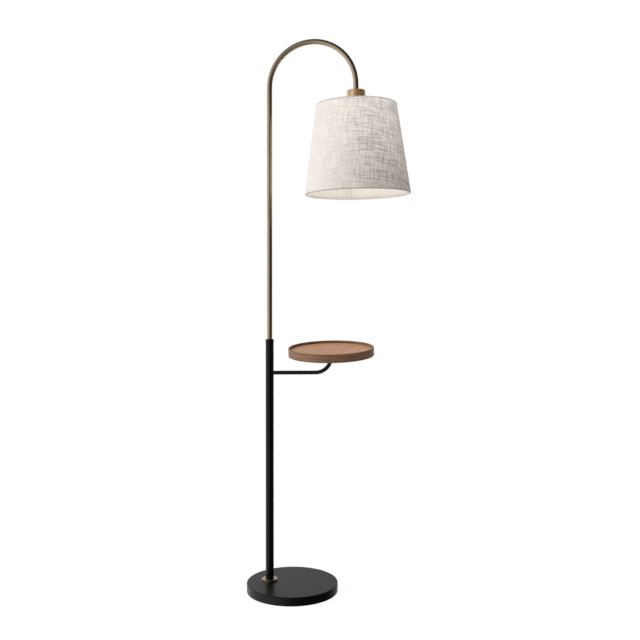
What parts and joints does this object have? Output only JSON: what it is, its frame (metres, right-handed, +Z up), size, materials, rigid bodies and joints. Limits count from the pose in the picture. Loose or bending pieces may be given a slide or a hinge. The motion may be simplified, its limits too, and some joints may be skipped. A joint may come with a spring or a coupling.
{
  "type": "floor lamp with table",
  "caption": "Arc floor lamp: weighted round base, black pole with a small round wooden tray on a bent arm, brass arc stem and a tapered linen drum shade.",
  "frame": {"origin": "centre of the base's underside, on the floor", "axes": "+Z up; +X from the pole towards the shade; the lamp is seen from -Y"},
  "size_m": [0.506, 0.3198, 1.692],
  "materials": {
    "black_powder_coat": "satin black powder coat",
    "antique_brass": "brushed antique brass plating",
    "zinc_steel": "zinc plated",
    "cast_weight": "as cast",
    "foam_pad": "closed-cell foam",
    "black_bush": "moulded",
    "nylon": "black nylon",
    "wire_sleeve": "vinyl sleeve",
    "walnut_veneer": "satin lacquered walnut veneer",
    "walnut_rim": "satin lacquered bent walnut",
    "black_moulding": "moulded",
    "socket_brass": "bright",
    "frosted_glass": "frosted",
    "white_wire": "white powder coat",
    "shade_linen": "natural slub linen weave",
    "shade_styrene": "matte off-white"
  },
  "bodies": {
    "stand": {"base_pad": "foam_pad", "base_cover": "black_powder_coat", "base_weight": "cast_weight", "cord_inlet": "black_bush", "foot_ring": "antique_brass", "lower_pole": "black_powder_coat", "middle_pole": "black_powder_coat", "upper_pole": "black_powder_coat", "foot_insert": "zinc_steel", "lower_pole_insert": "zinc_steel", "middle_pole_foot_insert": "zinc_steel", "middle_pole_insert": "zinc_steel", "upper_pole_insert": "zinc_steel", "foot_nipple": "zinc_steel", "pole_joint_nipple": "zinc_steel", "foot_washer": "zinc_steel", "foot_nut": "zinc_steel", "hub_spindle": "zinc_steel", "lower_hub_washer": "nylon", "upper_hub_washer": "nylon", "pole_ferrule": "black_powder_coat", "lower_wire": "wire_sleeve"},
    "table_hub": {"table_hub": "black_powder_coat", "arm_saddle": "black_powder_coat"},
    "table": {"arm_stud": "zinc_steel", "table_arm": "black_powder_coat", "tray_plate": "black_powder_coat", "tray_screws": "zinc_steel", "tray_board": "walnut_veneer", "tray_rim": "walnut_rim"},
    "arc": {"stem_tube": "antique_brass", "arc_tube": "antique_brass", "stem_foot_insert": "zinc_steel", "stem_top_insert": "zinc_steel", "arc_foot_insert": "zinc_steel", "neck_insert": "zinc_steel", "stem_joint_nipple": "zinc_steel", "neck_nipple": "zinc_steel", "swivel_nipple": "zinc_steel", "swivel_washer": "nylon", "swivel_nut": "zinc_steel", "upper_wire": "wire_sleeve", "socket_cup": "antique_brass", "cup_nut": "zinc_steel", "socket_housing": "black_moulding", "socket_shell": "socket_brass", "socket_contact": "socket_brass", "bulb_glass": "frosted_glass", "bulb_cap": "socket_brass", "shade_ring_nut": "antique_brass", "shade_carrier": "white_wire", "shade_bottom_ring": "white_wire", "shade_cover": "shade_linen", "shade_lining": "shade_styrene"},
    "switch": {"switch_shaft": "socket_brass", "switch_knob": "black_moulding"}
  },
  "joints": [
    {"name": "arc_swivel", "type": "hinge", "parent": "stand", "child": "arc", "pos_m": [-0.072, 0, 0.75], "axis": [0, 0, 1], "range_deg": [-170, 170]},
    {"name": "table_swivel", "type": "hinge", "parent": "stand", "child": "table_hub", "pos_m": [-0.072, 0, 0.6695], "axis": [0, 0, 1], "continuous": true},
    {"name": "table_levelling", "type": "hinge", "parent": "table_hub", "child": "table", "pos_m": [-0.072, 0, 0.6695], "axis": [0.9997, 0, 0.0253], "range_deg": [-15, 10]},
    {"name": "switch_turn", "type": "hinge", "parent": "arc", "child": "switch", "pos_m": [0.19933, -0.03, 1.48131], "axis": [0, -1, 0], "continuous": true}
  ]
}
